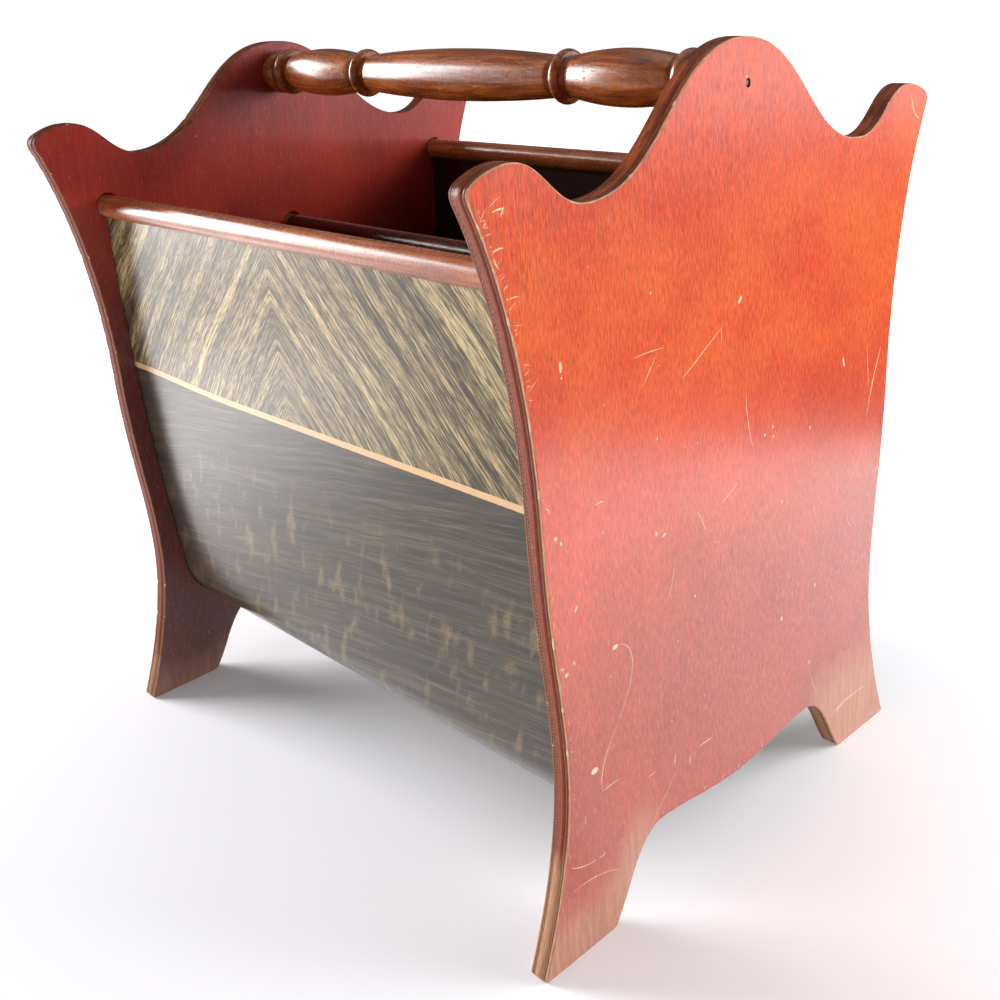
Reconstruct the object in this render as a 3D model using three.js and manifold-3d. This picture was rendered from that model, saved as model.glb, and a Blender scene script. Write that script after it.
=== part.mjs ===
// Magazine file holder: two scroll-cut plywood end boards, a bent sheet trough hung between them,
// a centre divider, round cap rails and a turned carrying handle.
// Millimetres. X runs along the handle, -Y is the decorated front, +Z is up, the feet stand on Z = 0.
import * as THREE from "three";
import { mergeVertices } from "three/addons/utils/BufferGeometryUtils.js";
import Module from "manifold-3d";

const wasm = await Module();
wasm.setup();

// Overall sizes
const LENGTH = 342;
const PANEL_THICKNESS = 9.5;
const PANEL_HEIGHT = 382;
const EDGE_CHAMFER = 0.6;
const FIT = 0.35;

// Cap rails and divider
const RAIL_RADIUS = 6.35;
const RAIL_Y = 120.5;
const RAIL_Z = 302.8;
const DIVIDER_RAIL_Z = 271.7;
const RAIL_SOCKET_DEPTH = 5;
const SOCKET_LIFT = 0.8;
const KERF_DEPTH = 6.2;

// Bent sheet trough, given by the middle of its thickness
const SHEET = 3;
const SHEET_GROOVE_DEPTH = 4;
const WALL_TOP = new THREE.Vector2(-120.8, RAIL_Z - 1);
const WALL_FOOT = new THREE.Vector2(-102, 77.8);
const WALL_LEAN = THREE.MathUtils.degToRad(8.65);
const WALL_BOW_HANDLE = 112;
const CORNER_RADIUS = 31.5;

// Turned handle
const HANDLE_Z = 364.5;
const TENON_RADIUS = 8;
const TENON_LENGTH = 5.8;

// Brads through the end boards into the handle's tenons
const NAIL_Y = 4;
const NAIL_Z = 363;
const NAIL_HEAD_RADIUS = 1.4;
const NAIL_HEAD_HEIGHT = 0.9;
const NAIL_RADIUS = 0.8;
const NAIL_LENGTH = 26;
const NAIL_TAPER = 3;
const NAIL_NECK = 0.8;
const NAIL_RIM = 0.2;
const NAIL_SUNK = 0.5;

const INNER_X = LENGTH / 2 - PANEL_THICKNESS;

// Materials
const paint = (color, roughness, metalness = 0) =>
  new THREE.MeshStandardMaterial({ color, roughness, metalness });

// A closed geometry as a solid for cutting, and back
function toSolid(geometry) {
  const bare = geometry.clone();
  bare.deleteAttribute("normal");
  bare.deleteAttribute("uv");
  const merged = mergeVertices(bare, 1e-4);
  return new wasm.Manifold(
    new wasm.Mesh({
      numProp: 3,
      vertProperties: new Float32Array(merged.attributes.position.array),
      triVerts: new Uint32Array(merged.index.array),
    }),
  );
}

function toGeometry(solid) {
  const mesh = solid.getMesh();
  const geometry = new THREE.BufferGeometry();
  geometry.setAttribute("position", new THREE.BufferAttribute(mesh.vertProperties, 3));
  geometry.setIndex(new THREE.BufferAttribute(mesh.triVerts, 1));
  const faceted = geometry.toNonIndexed();
  faceted.computeVertexNormals();
  return faceted;
}

function cut(geometry, ...tools) {
  return toGeometry(tools.reduce((solid, tool) => solid.subtract(toSolid(tool)), toSolid(geometry)));
}

// A profile drawn in (Y, Z), extruded along X from x0 to x1, with a chamfer on both rims
const ALONG_X = new THREE.Matrix4().makeBasis(
  new THREE.Vector3(0, 1, 0),
  new THREE.Vector3(0, 0, 1),
  new THREE.Vector3(1, 0, 0),
);

function extrudeX(points, x0, x1, chamfer = 0) {
  const geometry = new THREE.ExtrudeGeometry(new THREE.Shape(points), {
    depth: x1 - x0 - 2 * chamfer,
    bevelEnabled: chamfer > 0,
    bevelSize: chamfer,
    bevelThickness: chamfer,
    bevelOffset: -chamfer,
    bevelSegments: 1,
  });
  return geometry.translate(0, 0, x0 + chamfer).applyMatrix4(ALONG_X);
}

// A profile of (radius, x) points turned about the X axis
function turnX(points, segments) {
  const geometry = new THREE.LatheGeometry(points, segments);
  return geometry.rotateZ(-Math.PI / 2);
}

// A round bar along X
function bar(radius, x0, x1, y, z, segments = 32) {
  const geometry = new THREE.CylinderGeometry(radius, radius, x1 - x0, segments);
  return geometry.rotateZ(Math.PI / 2).translate((x0 + x1) / 2, y, z);
}

const mirrored = (points) => points.map((p) => new THREE.Vector2(-p.x, p.y)).reverse();

// End board outline, from the peak down one side to the middle of the apron
function panelOutline() {
  const half = new THREE.Path();
  half.moveTo(0, PANEL_HEIGHT);
  half.bezierCurveTo(46, PANEL_HEIGHT, 52, 329.7, 95.6, 329.7); // shoulder into the valley
  half.bezierCurveTo(115, 329.7, 118.5, 349.8, 137, 349.8); // valley up to the horn
  half.bezierCurveTo(143.5, 349.8, 150, 347.6, 154.4, 345); // top of the horn
  half.quadraticCurveTo(158.3, 342.6, 156.4, 338); // tip of the horn
  half.bezierCurveTo(146, 316.5, 130.8, 272, 128.4, 205); // flared side
  half.bezierCurveTo(126.6, 150, 119.4, 130, 119.2, 90); // down to the waist
  half.bezierCurveTo(119.2, 60, 128.5, 26, 139.2, 0); // splayed foot
  half.lineTo(92.5, 0); // sole
  half.bezierCurveTo(80.5, 16, 77, 36, 61, 39.2); // inside of the leg and the notch
  half.bezierCurveTo(48, 40.4, 24, 33.6, 0, 33.6); // apron
  const side = half.getPoints(9);
  return [...side, ...mirrored(side).slice(1, -1)].reverse();
}

// Middle line of the trough sheet, from the front top edge round to the back top edge
function troughLine() {
  const handle = new THREE.Vector2(-Math.sin(WALL_LEAN), Math.cos(WALL_LEAN));
  const bow = WALL_FOOT.clone().addScaledVector(handle, WALL_BOW_HANDLE);
  const centreY = WALL_FOOT.x + CORNER_RADIUS * Math.cos(WALL_LEAN);
  const centreZ = WALL_FOOT.y + CORNER_RADIUS * Math.sin(WALL_LEAN);
  const wall = new THREE.QuadraticBezierCurve(WALL_TOP, bow, WALL_FOOT);
  const corner = new THREE.EllipseCurve(
    centreY, centreZ, CORNER_RADIUS, CORNER_RADIUS, Math.PI + WALL_LEAN, 1.5 * Math.PI,
  );
  const front = [...wall.getPoints(10), ...corner.getPoints(10).slice(1)];
  return { points: [...front, ...mirrored(front)], floor: centreZ - CORNER_RADIUS };
}

// The band that lies within halfWidth of a line of points
function band(line, halfWidth) {
  const side = (sign) =>
    line.map((p, i) => {
      const before = line[Math.max(i - 1, 0)];
      const after = line[Math.min(i + 1, line.length - 1)];
      const along = after.clone().sub(before).normalize();
      return new THREE.Vector2(p.x - sign * halfWidth * along.y, p.y + sign * halfWidth * along.x);
    });
  return [...side(-1), ...side(1).reverse()];
}

// A round-ended upright slot
function slot(y, z, radius, lift) {
  const shape = new THREE.Path();
  shape.absarc(y, z, radius, Math.PI, 2 * Math.PI);
  shape.absarc(y, z + lift, radius, 0, Math.PI);
  return shape.getPoints(16).slice(0, -1);
}

const rectangle = (y0, y1, z0, z1) => [
  new THREE.Vector2(y0, z0),
  new THREE.Vector2(y1, z0),
  new THREE.Vector2(y1, z1),
  new THREE.Vector2(y0, z1),
];

const trough = troughLine();
const dividerFoot = trough.floor + SHEET / 2 + FIT;
const dividerTop = DIVIDER_RAIL_Z - RAIL_RADIUS + KERF_DEPTH - FIT;

// End board on the +X side, with the joinery cut into its inner face
function endPanel() {
  const board = extrudeX(panelOutline(), INNER_X, LENGTH / 2, EDGE_CHAMFER);
  const inside = INNER_X - 1;
  const socketX = INNER_X + RAIL_SOCKET_DEPTH;
  const grooveX = INNER_X + SHEET_GROOVE_DEPTH;
  const socketRadius = RAIL_RADIUS + FIT;
  return cut(
    board,
    extrudeX(band(trough.points, SHEET / 2 + FIT), inside, grooveX),
    extrudeX(rectangle(-SHEET / 2 - FIT, SHEET / 2 + FIT, trough.floor, dividerTop), inside, grooveX),
    extrudeX(slot(-RAIL_Y, RAIL_Z, socketRadius, SOCKET_LIFT), inside, socketX),
    extrudeX(slot(RAIL_Y, RAIL_Z, socketRadius, SOCKET_LIFT), inside, socketX),
    extrudeX(slot(0, DIVIDER_RAIL_Z, socketRadius, 2 * SOCKET_LIFT), inside, socketX),
    bar(TENON_RADIUS + FIT, inside, INNER_X + TENON_LENGTH + FIT, 0, HANDLE_Z, 40),
    bar(NAIL_HEAD_RADIUS + FIT, inside, LENGTH / 2 + 1, NAIL_Y, NAIL_Z, 16),
  );
}

// The bent sheet; its ends sit in the end boards' grooves
function troughShell() {
  const half = INNER_X + SHEET_GROOVE_DEPTH - FIT;
  return extrudeX(band(trough.points, SHEET / 2), -half, half);
}

function dividerPanel() {
  const half = INNER_X + SHEET_GROOVE_DEPTH - FIT;
  return extrudeX(rectangle(-SHEET / 2, SHEET / 2, dividerFoot, dividerTop - FIT), -half, half);
}

// A cap rail: a round bar with a kerf along its underside for the sheet's edge
function capRail(y, z, kerfY) {
  const half = INNER_X + RAIL_SOCKET_DEPTH - FIT;
  const kerfHalf = SHEET / 2 + FIT;
  const kerfTop = z - RAIL_RADIUS + KERF_DEPTH;
  const kerf = rectangle(kerfY - kerfHalf, kerfY + kerfHalf, z - 2 * RAIL_RADIUS, kerfTop);
  return cut(bar(RAIL_RADIUS, -half, half, y, z), extrudeX(kerf, -half - 1, half + 1));
}

// Handle profile from mid length to one end, as (radius, x)
function handleHalfProfile() {
  const line = new THREE.Path();
  const bead = (x, halfWidth, base, crown) => {
    const pull = (4 * crown - base) / 3;
    line.lineTo(base, x - halfWidth);
    line.bezierCurveTo(pull, x - halfWidth, pull, x + halfWidth, base, x + halfWidth);
  };
  line.moveTo(13.1, 0);
  line.quadraticCurveTo(13.1, 34, 10.1, 66.5); // middle swell
  line.lineTo(8.6, 69);
  line.lineTo(8.6, 71.4);
  bead(74.4, 2.6, 9.6, 12.9); // ring
  line.lineTo(8.6, 77.6);
  line.lineTo(8.6, 79.6);
  line.lineTo(10.2, 81.2);
  line.quadraticCurveTo(13.1, 96.5, 13.1, 110); // outer swell
  line.quadraticCurveTo(13.1, 124.5, 10.3, 138);
  line.lineTo(8.9, 139.8);
  line.lineTo(8.9, 141.8);
  bead(145.4, 3.3, 10.2, 13.1); // collar
  line.lineTo(9.8, 149.8);
  bead(154.1, 3.5, 10.2, 12.7); // end bead
  line.lineTo(10.6, 158.6);
  line.lineTo(10.6, INNER_X - FIT);
  line.lineTo(TENON_RADIUS, INNER_X - FIT);
  line.lineTo(TENON_RADIUS, INNER_X + TENON_LENGTH);
  line.lineTo(0, INNER_X + TENON_LENGTH);
  return line.getPoints(5);
}

function turnedHandle() {
  const half = handleHalfProfile();
  const otherHalf = half.map((p) => new THREE.Vector2(p.x, -p.y)).reverse();
  const body = turnX([...otherHalf, ...half.slice(1)], 32).translate(0, 0, HANDLE_Z);
  const end = INNER_X + TENON_LENGTH;
  const pilotEnd = LENGTH / 2 - NAIL_SUNK - NAIL_LENGTH - FIT;
  return cut(
    body,
    bar(NAIL_RADIUS + FIT, pilotEnd, end + 1, NAIL_Y, NAIL_Z, 12),
    bar(NAIL_RADIUS + FIT, -end - 1, -pilotEnd, -NAIL_Y, NAIL_Z, 12),
  );
}

// A finishing nail, head just below the board's outer face
function nail() {
  const head = LENGTH / 2 - NAIL_SUNK;
  const neck = head - NAIL_HEAD_HEIGHT;
  const tip = head - NAIL_LENGTH;
  const profile = [
    new THREE.Vector2(0, tip),
    new THREE.Vector2(NAIL_RADIUS, tip + NAIL_TAPER),
    new THREE.Vector2(NAIL_RADIUS, neck - NAIL_NECK),
    new THREE.Vector2(NAIL_HEAD_RADIUS, neck),
    new THREE.Vector2(NAIL_HEAD_RADIUS, head - NAIL_RIM),
    new THREE.Vector2(NAIL_HEAD_RADIUS - NAIL_RIM, head),
    new THREE.Vector2(0, head),
  ];
  return turnX(profile, 16).translate(0, NAIL_Y, NAIL_Z);
}

const rack = new THREE.Group();

function add(name, geometry, material, halfTurn = false) {
  const mesh = new THREE.Mesh(geometry, material);
  mesh.name = name;
  mesh.rotation.z = halfTurn ? Math.PI : 0;
  rack.add(mesh);
}

add("right_end_panel", endPanel(), paint(0xb4462c, 0.35));
add("left_end_panel", endPanel(), paint(0x9c3826, 0.35), true);
add("trough_shell", troughShell(), paint(0x8d8264, 0.25));
add("divider_panel", dividerPanel(), paint(0x2c1a16, 0.5));
add("front_rail", capRail(-RAIL_Y, RAIL_Z, WALL_TOP.x), paint(0x6e3c22, 0.3));
add("back_rail", capRail(RAIL_Y, RAIL_Z, -WALL_TOP.x), paint(0x6a3920, 0.3));
add("divider_rail", capRail(0, DIVIDER_RAIL_Z, 0), paint(0x5a2c1a, 0.3));
add("handle", turnedHandle(), paint(0x6b3a1e, 0.3));
add("right_nail", nail(), paint(0x77706a, 0.5, 0.9));
add("left_nail", nail(), paint(0x6f6862, 0.5, 0.9), true);

export default rack;
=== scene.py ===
"""Looks of the wooden magazine rack: two varnished plywood end boards, a bent sheet trough with a
herringbone front, a divider, three cap rails and a turned handle, on a pale studio floor.
Metres, +Z up, +X along the handle, -Y the decorated front. Outlines are written in millimetres."""
import math
import random

import bmesh
import bpy
from mathutils import Matrix, Vector, geometry, noise


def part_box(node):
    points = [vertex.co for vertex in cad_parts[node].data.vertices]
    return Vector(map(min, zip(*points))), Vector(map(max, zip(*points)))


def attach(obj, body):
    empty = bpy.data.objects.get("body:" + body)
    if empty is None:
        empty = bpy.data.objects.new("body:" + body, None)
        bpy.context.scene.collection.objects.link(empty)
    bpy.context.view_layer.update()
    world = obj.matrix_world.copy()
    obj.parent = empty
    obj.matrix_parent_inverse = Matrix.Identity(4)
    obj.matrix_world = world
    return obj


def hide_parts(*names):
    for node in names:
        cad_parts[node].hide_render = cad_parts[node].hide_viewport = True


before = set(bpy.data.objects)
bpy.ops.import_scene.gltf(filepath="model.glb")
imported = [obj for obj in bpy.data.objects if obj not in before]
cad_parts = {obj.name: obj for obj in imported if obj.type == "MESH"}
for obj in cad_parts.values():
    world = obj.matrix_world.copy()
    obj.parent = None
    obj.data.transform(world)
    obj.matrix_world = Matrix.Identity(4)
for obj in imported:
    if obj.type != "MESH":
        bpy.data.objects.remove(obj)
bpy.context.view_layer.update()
MM = 0.001

# ---------------------------------------------------------------- sizes read from the frame
BOARD_LOW, BOARD_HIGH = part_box("right_end_panel")
DIVIDER_LOW, DIVIDER_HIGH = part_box("divider_panel")
HANDLE_LOW, HANDLE_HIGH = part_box("handle")
NAIL_LOW, NAIL_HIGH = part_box("right_nail")
BOARD_THICKNESS = BOARD_HIGH.x - BOARD_LOW.x
INNER_X = BOARD_LOW.x
HANDLE_Z = (HANDLE_LOW.z + HANDLE_HIGH.z) / 2
NAIL_Y = (NAIL_LOW.y + NAIL_HIGH.y) / 2
NAIL_Z = (NAIL_LOW.z + NAIL_HIGH.z) / 2

# ---------------------------------------------------------------- sizes in millimetres
# Clearance in every joint, and how far a cutting tool reaches past the wood
FIT = 0.35
OVERCUT = 1

# End board outline from its peak down the +Y side: one Bezier per row, in (y, z) millimetres
BOARD_PEAK = (0, 382)
BOARD_CURVES = (
    ((46, 382), (52, 329.7), (95.6, 329.7)),  # shoulder into the valley
    ((115, 329.7), (118.5, 349.8), (137, 349.8)),  # valley up to the horn
    ((143.5, 349.8), (150, 347.6), (154.4, 345)),  # top of the horn
    ((158.3, 342.6), (156.4, 338)),  # tip of the horn
    ((146, 316.5), (130.8, 272), (128.4, 205)),  # flared side
    ((126.6, 150), (119.4, 130), (119.2, 90)),  # down to the waist
    ((119.2, 60), (128.5, 26), (139.2, 0)),  # splayed foot
    ((92.5, 0),),  # sole
    ((80.5, 16), (77, 36), (61, 39.2)),  # inside of the leg and the notch
    ((48, 40.4), (24, 33.6), (0, 33.6)),  # apron
)
OUTLINE_STEP = 2.2
CORNER_EASE = 2.8

# Trough sheet: its wall is a gentle bow, then a round corner, in (y, z) millimetres
SHEET = 3
WALL_TOP = Vector((-120.8, 301.8))
WALL_FOOT = Vector((-102, 77.8))
WALL_LEAN = math.radians(8.65)
WALL_BOW_HANDLE = 112
CORNER_RADIUS = 31.5
CORNER_STEPS = 24
FLOOR_STEPS = 30
SHEET_GROOVE = 4

# Rails, as (y, z) millimetres
RAIL_RADIUS = 6.35
RAIL_SOCKET = 5
SOCKET_LIFT = 0.8
KERF_DEPTH = 6.2
FRONT_RAIL = Vector((-120.5, 302.8))
BACK_RAIL = Vector((120.5, 302.8))
DIVIDER_RAIL = Vector((0, 271.7))

# Handle, and the nail's hole through the end board
TENON_RADIUS = 8
TENON_LENGTH = 5.8
NAIL_BORE = 1.55
NAIL_BORE_PLAY = 0.8


# ---------------------------------------------------------------- curves
def polar(angle):
    """The unit vector at an angle in radians."""
    return Vector((math.cos(angle), math.sin(angle)))


def bezier(controls, count):
    """count points of a Bezier curve of any order, without its first point."""
    made = []
    for step in range(1, count + 1):
        t = step / count
        row = [Vector(p) for p in controls]
        while len(row) > 1:
            row = [a.lerp(b, t) for a, b in zip(row, row[1:])]
        made.append(row[0])
    return made


def turn(before, here, after):
    """How far a line turns at a point, in radians."""
    return (here - before).angle_signed(after - here, 0.0)


def eased(loop, radius, sharp=math.radians(25)):
    """The closed loop with each sharp corner rounded."""
    triples = [(loop[i - 1], here, loop[(i + 1) % len(loop)]) for i, here in enumerate(loop)]
    corners = [here for before, here, after in triples if abs(turn(before, here, after)) > sharp]
    made = []
    for before, here, after in triples:
        if here in corners:
            start = here + (before - here).normalized() * radius
            end = here + (after - here).normalized() * radius
            made += [start] + bezier((start, here, end), 5)
        elif all((here - corner).length > 1.1 * radius for corner in corners):
            made.append(here)
    return made


def board_outline():
    """The end board's closed outline, anticlockwise in (y, z) millimetres."""
    side = [Vector(BOARD_PEAK)]
    for curve in BOARD_CURVES:
        controls = [tuple(side[-1])] + list(curve)
        length = sum((Vector(b) - Vector(a)).length for a, b in zip(controls, controls[1:]))
        side += bezier(controls, max(3, round(length / OUTLINE_STEP)))
    other = [Vector((-p.x, p.y)) for p in side[-2:0:-1]]
    return eased((side + other)[::-1], CORNER_EASE)


def outward(loop):
    """The outward normal at each point of an anticlockwise loop, longer at corners."""
    made = []
    for i, here in enumerate(loop):
        a = (here - loop[i - 1]).normalized()
        b = (loop[(i + 1) % len(loop)] - here).normalized()
        normal = Vector((a.y + b.y, -a.x - b.x))
        made.append(normal / max(0.5 * normal.length_squared, 0.4))
    return made


def trough_line(count=60):
    """Middle line of the trough sheet, from its front top edge round to its back top edge."""
    lean = Vector((-math.sin(WALL_LEAN), math.cos(WALL_LEAN)))
    centre = WALL_FOOT + CORNER_RADIUS * polar(WALL_LEAN)
    front = [WALL_TOP] + bezier((WALL_TOP, WALL_FOOT + WALL_BOW_HANDLE * lean, WALL_FOOT), count)
    for step in range(1, CORNER_STEPS + 1):
        angle = math.pi + WALL_LEAN + (math.pi / 2 - WALL_LEAN) * step / CORNER_STEPS
        front.append(centre + CORNER_RADIUS * polar(angle))
    across = [centre.x * (1 - 2 * k / FLOOR_STEPS) for k in range(1, FLOOR_STEPS)]
    flat = [Vector((y, front[-1].y)) for y in across]
    back = [Vector((-p.x, p.y)) for p in front[::-1]]
    return front + flat + back


def beside(line, distance):
    """An open line moved sideways, to its right as it runs."""
    made = []
    for i, p in enumerate(line):
        along = (line[min(i + 1, len(line) - 1)] - line[max(i - 1, 0)]).normalized()
        made.append(p + distance * Vector((along.y, -along.x)))
    return made


TROUGH = trough_line()
TROUGH_FLOOR = min(p.y for p in TROUGH)


# ---------------------------------------------------------------- meshes
def make_object(name, bm, materials, smooth=True):
    """A mesh object from a bmesh, with its faces pointing out."""
    bmesh.ops.recalc_face_normals(bm, faces=bm.faces)
    mesh = bpy.data.meshes.new(name)
    bm.to_mesh(mesh)
    bm.free()
    for material in materials:
        mesh.materials.append(material)
    if smooth:
        mesh.shade_smooth()
    piece = bpy.data.objects.new(name, mesh)
    bpy.context.scene.collection.objects.link(piece)
    return piece


def loft(bm, rings, material=0, closed=True):
    """Quads between rings of points. Each ring is a list of bmesh vertices."""
    faces = []
    for a, b in zip(rings, rings[1:]):
        count = len(a)
        for i in range(count if closed else count - 1):
            j = (i + 1) % count
            face = bm.faces.new((a[i], a[j], b[j], b[i]))
            face.material_index = material
            faces.append(face)
    return faces


def closed_rod(name, outlines, sharp_degrees, materials):
    """An object through the given outlines in turn, closed by a flat face at each end."""
    bm = bmesh.new()
    rings = [[bm.verts.new(point) for point in outline] for outline in outlines]
    loft(bm, rings)
    bm.faces.new(rings[0])
    bm.faces.new(rings[-1])
    piece = make_object(name, bm, materials)
    piece.data.set_sharp_from_angle(angle=math.radians(sharp_degrees))
    return piece


def prism(profile, x0, x1):
    """A closed (y, z) millimetre profile extruded along X, as a hidden cutting tool."""
    bm = bmesh.new()
    rings = [[bm.verts.new((x, p.x * MM, p.y * MM)) for p in profile] for x in (x0, x1)]
    loft(bm, rings, CUT)
    for ring in rings:
        bm.faces.new(ring).material_index = CUT
    return make_object("cutter", bm, [None] * (BACK + 1), smooth=False)


def join_tools(tools):
    """Several cutting tools as one."""
    with bpy.context.temp_override(active_object=tools[0], selected_editable_objects=tools):
        bpy.ops.object.join()
    return tools[0]


def cut(piece, tool):
    """Cuts a tool out of a piece for good."""
    modifier = piece.modifiers.new("cut", "BOOLEAN")
    modifier.object = tool
    modifier.solver = "EXACT"
    graph = bpy.context.evaluated_depsgraph_get()
    made = bpy.data.meshes.new_from_object(piece.evaluated_get(graph), depsgraph=graph)
    piece.modifiers.clear()
    old = piece.data
    piece.data = made
    bpy.data.meshes.remove(old)
    bpy.data.objects.remove(tool)


HALF_ROUND_STEPS = 24


def slot_profile(centre, radius, lift):
    """A round-ended upright slot."""
    lower = [radius * polar(math.pi + math.pi * k / HALF_ROUND_STEPS) for k in range(HALF_ROUND_STEPS + 1)]
    raised = centre + Vector((0, lift))
    return [centre + p for p in lower] + [raised - p for p in lower]


# ---------------------------------------------------------------- end boards
FACE, BARE, EDGE, CUT, BACK = range(5)

# Across the board's thickness from its outer face: (depth, inset, how much a chip takes away)
ARRIS = 0.6
PLY_PROFILE = (
    (1.02, 0.02, 0.6),
    (1.10, 0.16, 0.4),
    (1.22, 0.16, 0.3),
    (1.30, 0.05, 0.2),
    (2.30, 0.05, 0.0),
    (2.36, 0.12, 0.0),
    (2.44, 0.00, 0.0),
    (4.70, 0.00, 0.0),
    (7.00, 0.00, 0.0),
    (7.08, 0.10, 0.0),
    (7.16, 0.05, 0.0),
    (8.05, 0.05, 0.0),
    (8.12, 0.12, 0.3),
    (8.20, 0.02, 0.4),
)
CRACK_RINGS = (1, 2)
GROOVE_SLOPE = 0.5
GROOVE_DEEPEST = 0.25
CHIP_TRIES = 150
SCROLL_VARNISH = (318, 328)
CRACKED_BEFORE = -100


def arris_profile(steps=6):
    """The rounded outer edge, from the face to the side: (depth, inset, chip share)."""
    made = [(0.0, 1.3 * ARRIS, 0.0), (0.0, 1.15 * ARRIS, 0.0)]
    for k in range(steps + 1):
        angle = math.pi / 2 * k / steps
        made.append((ARRIS * (1 - math.cos(angle)), ARRIS * (1 - math.sin(angle)), 1.0))
    return made


def chips(loop, seed, rough_spots):
    """How deep the outer edge is chipped at each outline point, in millimetres."""
    rng = random.Random(seed)
    marks = []
    for _ in range(CHIP_TRIES):
        spot = rng.choice(loop)
        likely = 0.25 + sum(1 for low, high in rough_spots if inside_box(spot, low, high))
        if rng.random() < likely:
            marks.append((spot, rng.uniform(0.5, 1.8), rng.uniform(0.08, 0.4)))
    depth = []
    for p in loop:
        worn = 0.05 + 0.05 * noise.noise(Vector((p.x * 0.12, p.y * 0.12, seed)))
        for spot, reach, deep in marks:
            away = (p - spot).length / reach
            if away < 1.5:
                worn = max(worn, deep * math.exp(-2 * away * away))
        depth.append(max(0.0, worn))
    return depth


def inside_box(p, low, high):
    """Whether a point lies in an upright rectangle given by two corners."""
    return low[0] <= p.x <= high[0] and low[1] <= p.y <= high[1]


def rise(value, low, high):
    """0 at low and 1 at high, with a smooth step between."""
    t = min(max((value - low) / (high - low), 0.0), 1.0)
    return t * t * (3 - 2 * t)


def varnished(p, normal):
    """How much dark varnish is left on the edge: all of it on the scrolled top, little elsewhere."""
    return rise(normal.y, -0.1, 0.25) * rise(p.y, *SCROLL_VARNISH)


def end_board(name, side, seed, rough_spots, crack, strokes, materials):
    """A plywood end board with rounded, chipped edges, its plies, its scratches and its joinery.
    side is +1 for the board at +X and -1 for the other; crack gives the open glue line's depth."""
    loop = board_outline()
    normals = outward(loop)
    worn = chips(loop, seed, rough_spots)
    outer = arris_profile()
    inner = [(BOARD_THICKNESS / MM - t, inset, 0.5 * share) for t, inset, share in outer[::-1]]
    profile = outer + list(PLY_PROFILE) + inner
    crack_rows = [len(outer) + k for k in CRACK_RINGS]
    bm = bmesh.new()
    wear_layer = bm.verts.layers.float.new("wear")
    ply_layer = bm.verts.layers.float.new("ply")
    varnish_layer = bm.verts.layers.float.new("varnish")
    face_x = side * BOARD_HIGH.x
    rings = []
    for row, (depth, inset, share) in enumerate(profile):
        ring = []
        for p, normal, chip in zip(loop, normals, worn):
            in_by = inset + share * chip
            if row in crack_rows:
                in_by += crack(p)
            at = p - normal * in_by
            vert = bm.verts.new((face_x - side * depth * MM, at.x * MM, at.y * MM))
            vert[wear_layer] = share * (0.3 + 3.0 * chip)
            vert[ply_layer] = depth * MM / BOARD_THICKNESS
            vert[varnish_layer] = varnished(p, normal)
            ring.append(vert)
        rings.append(ring)
    for a, b, row in zip(rings, rings[1:], range(len(rings))):
        if row < 1:
            material = FACE
        elif row == len(profile) - 2:
            material = BACK
        else:
            material = EDGE
        loft(bm, [a, b], material)
    for ring, marks, index in ((rings[0], strokes, FACE), (rings[-1], [], BACK)):
        fill_face(bm, ring, marks, side, index)
    board = make_object(name, bm, materials)
    sharpen_flat_faces(board)
    cut_joinery(board, side)
    return board


def fill_face(bm, ring, strokes, side, index):
    """Fills a flat face inside a ring, with each stroke as a shallow V groove of bare wood."""
    x = ring[0].co.x
    points = [Vector((v.co.y, v.co.z)) for v in ring]
    polygons = [list(range(len(ring)))]
    depths = {}
    for centres, halves in strokes:
        moved = beside(centres, 1.0)
        lefts = [c + (m - c) * h for c, m, h in zip(centres, moved, halves)][1:-1]
        rights = [c - (m - c) * h for c, m, h in zip(centres, moved, halves)][1:-1]
        rim = [centres[0]] + lefts + [centres[-1]] + rights[::-1]
        start = len(points)
        points += [p * MM for p in rim]
        polygons.append(list(range(start, start + len(rim))))
        for c, h in zip(centres[1:-1], halves[1:-1]):
            depths[len(points)] = min(GROOVE_SLOPE * h, GROOVE_DEEPEST) * MM
            points.append(c * MM)
    made = geometry.delaunay_2d_cdt(points, [], polygons, 1, 1e-7, True)
    coords, _, faces, from_verts, _, from_faces = made
    placed = []
    for co, source in zip(coords, from_verts):
        on_ring = [s for s in source if s < len(ring)]
        if on_ring:
            placed.append(ring[on_ring[0]])
            continue
        sunk = max((depths.get(s, 0.0) for s in source), default=0.0)
        placed.append(bm.verts.new((x - side * sunk, co.x, co.y)))
    for corners, source in zip(faces, from_faces):
        if not source:
            continue
        face = bm.faces.new([placed[i] for i in corners])
        face.material_index = BARE if len(source) > 1 else index


def sharpen_flat_faces(board):
    """The two broad faces and their scratches stay flat shaded; the rounded edges stay smooth."""
    for face in board.data.polygons:
        face.use_smooth = face.material_index == EDGE


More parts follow.
